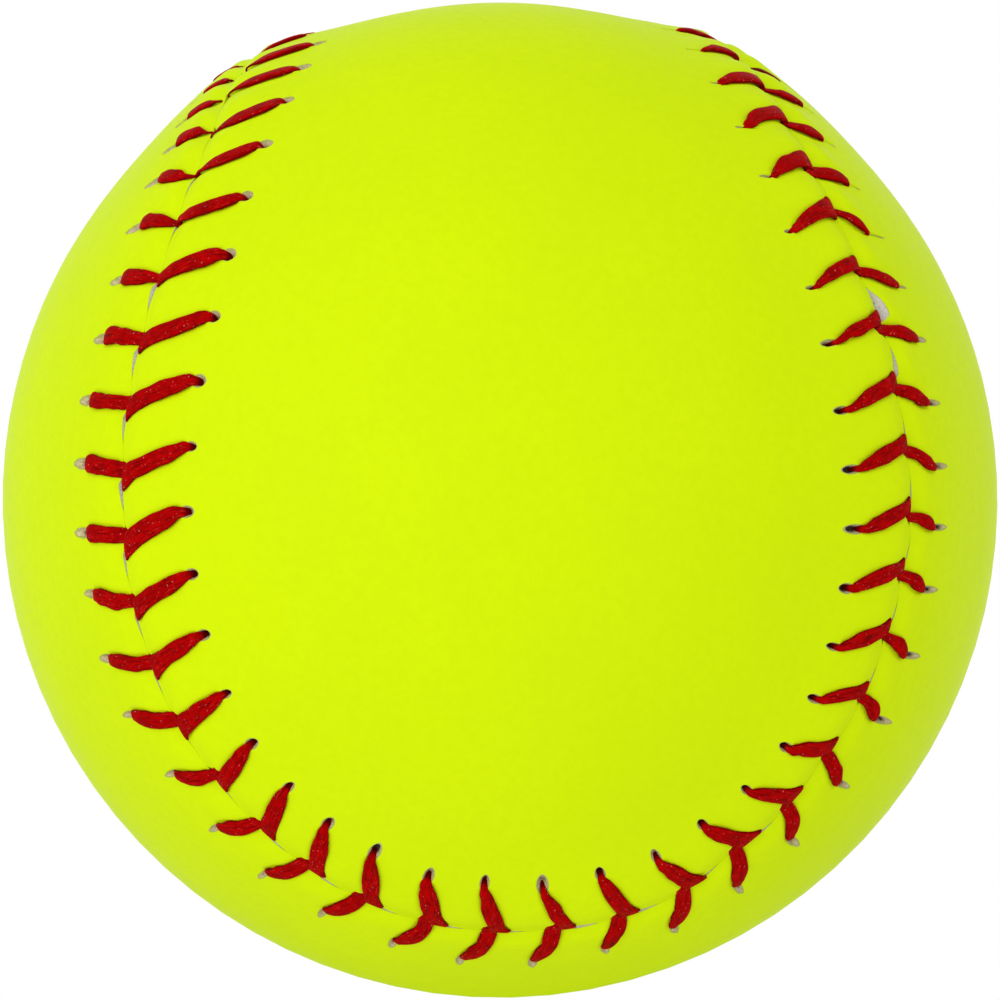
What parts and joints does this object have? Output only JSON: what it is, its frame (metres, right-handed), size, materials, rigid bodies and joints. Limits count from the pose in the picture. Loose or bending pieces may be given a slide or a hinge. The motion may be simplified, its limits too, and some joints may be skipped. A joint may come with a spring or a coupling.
{
  "type": "softball",
  "caption": "Optic yellow ball with a hard moulded core, a wound and cemented layer, dog-bone cover panels and raised red herringbone stitching, for throwing and batting.",
  "frame": {"origin": "centre of the ball", "axes": "+Z runs out through the neck of the front cover panel, and the seam crosses the X and Y axes. The front panel's lobes lie towards -X +Y and +X -Y, the back panel's towards +X +Y and -X -Y."},
  "size_m": [0.0998, 0.0998, 0.097],
  "materials": {
    "core_foam": "dense moulded polyurethane, dull",
    "winding_yarn": "grey-white cotton and polyester yarn, wound tight",
    "cement": "thin dried rubber cement",
    "cover_leather": "smooth optic yellow leather with a very fine grain and a soft sheen",
    "waxed_thread": "flat waxed red thread with visible fibres"
  },
  "bodies": {
    "root": {"polyurethane_core": "core_foam", "yarn_winding": "winding_yarn", "cement_coat": "cement", "cover_panel_front": "cover_leather", "cover_panel_back": "cover_leather", "thread_first_needle": "waxed_thread", "thread_second_needle": "waxed_thread"}
  },
  "joints": []
}
